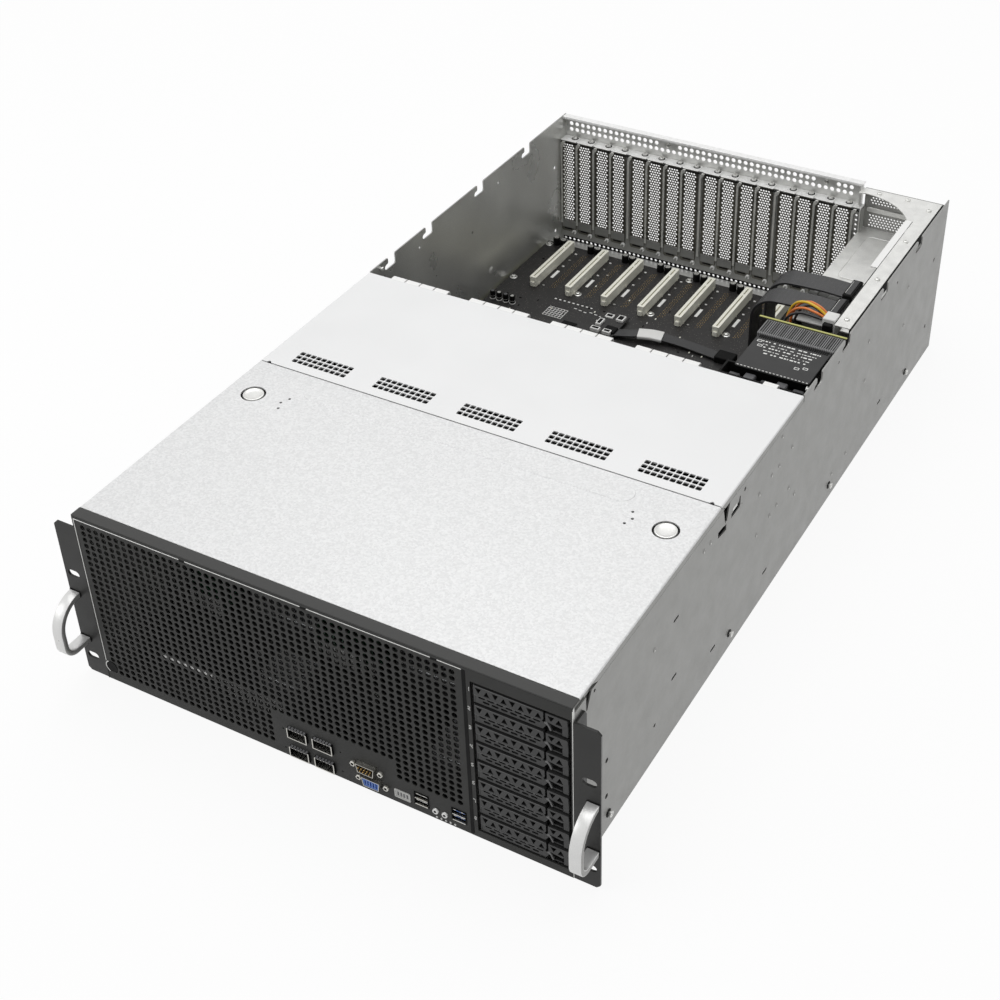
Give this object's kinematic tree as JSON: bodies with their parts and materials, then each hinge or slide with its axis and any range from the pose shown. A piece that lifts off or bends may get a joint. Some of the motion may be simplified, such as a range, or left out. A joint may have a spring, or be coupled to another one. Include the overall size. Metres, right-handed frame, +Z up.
{
  "type": "rack server",
  "caption": "Rack-mount graphics server with a perforated front, drive trays, fan row, open expansion card bay and slide-in power supplies.",
  "frame": {"origin": "centre of the case's bottom face", "axes": "+X to the right seen from the front, +Y from front to rear, +Z up"},
  "size_m": [0.4826, 0.852, 0.1745],
  "materials": {
    "zinc_steel": "galvanised, fine spangle",
    "cover_steel": "bright galvanised, satin",
    "black_steel": "black powder coat, fine texture",
    "silver_alloy": "satin anodised",
    "bright_steel": "nickel plated",
    "black_plastic": "fine grain",
    "board_black": "black solder mask",
    "slot_plastic": "ivory",
    "fin_alloy": "plain milled",
    "cable_black": "ribbed flat cable",
    "wire_cover": "orange, yellow and black insulation",
    "port_blue": "connector plastic",
    "display_grey": "clear display window"
  },
  "bodies": {
    "chassis": {"chassis_base": "zinc_steel", "rear_panel": "zinc_steel", "front_frame": "black_steel", "front_grille": "black_steel", "middle_cover": "cover_steel", "rack_ear_left": "black_steel", "rack_ear_right": "black_steel", "handle_left": "silver_alloy", "handle_right": "silver_alloy", "drive_cage": "zinc_steel", "drive_backplane": "board_black", "fan_wall": "zinc_steel", "fan_housings": "black_plastic", "motherboard": "board_black", "processor_coolers": "fin_alloy", "memory_modules": "board_black", "middle_deck": "zinc_steel", "expansion_board": "board_black", "expansion_slots": "slot_plastic", "slot_covers": "zinc_steel", "fasteners": "bright_steel", "psu_cage": "zinc_steel", "riser_board": "board_black", "adapter_card": "board_black", "ribbon_cables": "cable_black", "power_wires": "wire_cover", "network_ports": "bright_steel", "serial_port": "bright_steel", "vga_port": "port_blue", "status_display": "display_grey", "usb_ports": "bright_steel"},
    "cover_button_left": {"cover_button_left": "silver_alloy"},
    "cover_button_right": {"cover_button_right": "silver_alloy"},
    "drive_tray_1": {"drive_tray_1": "black_plastic"},
    "drive_tray_2": {"drive_tray_2": "black_plastic"},
    "drive_tray_3": {"drive_tray_3": "black_plastic"},
    "drive_tray_4": {"drive_tray_4": "black_plastic"},
    "drive_tray_5": {"drive_tray_5": "black_plastic"},
    "drive_tray_6": {"drive_tray_6": "black_plastic"},
    "drive_tray_7": {"drive_tray_7": "black_plastic"},
    "drive_tray_8": {"drive_tray_8": "black_plastic"},
    "fan_rotor_1": {"fan_rotor_1": "black_plastic"},
    "fan_rotor_2": {"fan_rotor_2": "black_plastic"},
    "fan_rotor_3": {"fan_rotor_3": "black_plastic"},
    "fan_rotor_4": {"fan_rotor_4": "black_plastic"},
    "fan_rotor_5": {"fan_rotor_5": "black_plastic"},
    "front_cover": {"front_cover": "cover_steel"},
    "power_button": {"power_button": "silver_alloy"},
    "psu_1": {"psu_1": "zinc_steel"},
    "psu_2": {"psu_2": "zinc_steel"},
    "psu_3": {"psu_3": "zinc_steel"},
    "reset_button": {"reset_button": "silver_alloy"},
    "tray_lever_1": {"tray_lever_1": "black_plastic"},
    "tray_lever_2": {"tray_lever_2": "black_plastic"},
    "tray_lever_3": {"tray_lever_3": "black_plastic"},
    "tray_lever_4": {"tray_lever_4": "black_plastic"},
    "tray_lever_5": {"tray_lever_5": "black_plastic"},
    "tray_lever_6": {"tray_lever_6": "black_plastic"},
    "tray_lever_7": {"tray_lever_7": "black_plastic"},
    "tray_lever_8": {"tray_lever_8": "black_plastic"}
  },
  "joints": [
    {"name": "front_cover_hinge", "type": "hinge", "parent": "chassis", "child": "front_cover", "pos_m": [0, -0.38985, 0.1745], "axis": [1, 0, 0], "range_deg": [0, 60]},
    {"name": "cover_button_left_press", "type": "slide", "parent": "front_cover", "child": "cover_button_left", "axis": [0, 0, -1], "range_m": [0, 0.0025], "stiffness_N_per_m": 400, "springref_m": -0.002},
    {"name": "cover_button_right_press", "type": "slide", "parent": "front_cover", "child": "cover_button_right", "axis": [0, 0, -1], "range_m": [0, 0.0025], "stiffness_N_per_m": 400, "springref_m": -0.002},
    {"name": "power_button_press", "type": "slide", "parent": "chassis", "child": "power_button", "axis": [0, 1, 0], "range_m": [0, 0.001], "stiffness_N_per_m": 300, "springref_m": -0.001},
    {"name": "reset_button_press", "type": "slide", "parent": "chassis", "child": "reset_button", "axis": [0, 1, 0], "range_m": [0, 0.001], "stiffness_N_per_m": 300, "springref_m": -0.001},
    {"name": "fan_1_spin", "type": "hinge", "parent": "chassis", "child": "fan_rotor_1", "pos_m": [-0.1688, -0.0793, 0.124], "axis": [0, 1, 0], "continuous": true},
    {"name": "fan_2_spin", "type": "hinge", "parent": "chassis", "child": "fan_rotor_2", "pos_m": [-0.0844, -0.0793, 0.124], "axis": [0, 1, 0], "continuous": true},
    {"name": "fan_3_spin", "type": "hinge", "parent": "chassis", "child": "fan_rotor_3", "pos_m": [0, -0.0793, 0.124], "axis": [0, 1, 0], "continuous": true},
    {"name": "fan_4_spin", "type": "hinge", "parent": "chassis", "child": "fan_rotor_4", "pos_m": [0.0844, -0.0793, 0.124], "axis": [0, 1, 0], "continuous": true},
    {"name": "fan_5_spin", "type": "hinge", "parent": "chassis", "child": "fan_rotor_5", "pos_m": [0.1688, -0.0793, 0.124], "axis": [0, 1, 0], "continuous": true},
    {"name": "psu_1_slide", "type": "slide", "parent": "chassis", "child": "psu_1", "axis": [0, 1, 0], "range_m": [0, 0.19]},
    {"name": "psu_2_slide", "type": "slide", "parent": "chassis", "child": "psu_2", "axis": [0, 1, 0], "range_m": [0, 0.19]},
    {"name": "psu_3_slide", "type": "slide", "parent": "chassis", "child": "psu_3", "axis": [0, 1, 0], "range_m": [0, 0.19]},
    {"name": "tray_1_slide", "type": "slide", "parent": "chassis", "child": "drive_tray_1", "axis": [0, -1, 0], "range_m": [0, 0.12]},
    {"name": "tray_1_lever", "type": "hinge", "parent": "drive_tray_1", "child": "tray_lever_1", "pos_m": [0.1416, -0.398, 0.15125], "axis": [0, 0, -1], "range_deg": [0, 60]},
    {"name": "tray_2_slide", "type": "slide", "parent": "chassis", "child": "drive_tray_2", "axis": [0, -1, 0], "range_m": [0, 0.12]},
    {"name": "tray_2_lever", "type": "hinge", "parent": "drive_tray_2", "child": "tray_lever_2", "pos_m": [0.1416, -0.398, 0.13212], "axis": [0, 0, -1], "range_deg": [0, 60]},
    {"name": "tray_3_slide", "type": "slide", "parent": "chassis", "child": "drive_tray_3", "axis": [0, -1, 0], "range_m": [0, 0.12]},
    {"name": "tray_3_lever", "type": "hinge", "parent": "drive_tray_3", "child": "tray_lever_3", "pos_m": [0.1416, -0.398, 0.11299], "axis": [0, 0, -1], "range_deg": [0, 60]},
    {"name": "tray_4_slide", "type": "slide", "parent": "chassis", "child": "drive_tray_4", "axis": [0, -1, 0], "range_m": [0, 0.12]},
    {"name": "tray_4_lever", "type": "hinge", "parent": "drive_tray_4", "child": "tray_lever_4", "pos_m": [0.1416, -0.398, 0.09386], "axis": [0, 0, -1], "range_deg": [0, 60]},
    {"name": "tray_5_slide", "type": "slide", "parent": "chassis", "child": "drive_tray_5", "axis": [0, -1, 0], "range_m": [0, 0.12]},
    {"name": "tray_5_lever", "type": "hinge", "parent": "drive_tray_5", "child": "tray_lever_5", "pos_m": [0.1416, -0.398, 0.07473], "axis": [0, 0, -1], "range_deg": [0, 60]},
    {"name": "tray_6_slide", "type": "slide", "parent": "chassis", "child": "drive_tray_6", "axis": [0, -1, 0], "range_m": [0, 0.12]},
    {"name": "tray_6_lever", "type": "hinge", "parent": "drive_tray_6", "child": "tray_lever_6", "pos_m": [0.1416, -0.398, 0.0556], "axis": [0, 0, -1], "range_deg": [0, 60]},
    {"name": "tray_7_slide", "type": "slide", "parent": "chassis", "child": "drive_tray_7", "axis": [0, -1, 0], "range_m": [0, 0.12]},
    {"name": "tray_7_lever", "type": "hinge", "parent": "drive_tray_7", "child": "tray_lever_7", "pos_m": [0.1416, -0.398, 0.03647], "axis": [0, 0, -1], "range_deg": [0, 60]},
    {"name": "tray_8_slide", "type": "slide", "parent": "chassis", "child": "drive_tray_8", "axis": [0, -1, 0], "range_m": [0, 0.12]},
    {"name": "tray_8_lever", "type": "hinge", "parent": "drive_tray_8", "child": "tray_lever_8", "pos_m": [0.1416, -0.398, 0.01734], "axis": [0, 0, -1], "range_deg": [0, 60]}
  ]
}
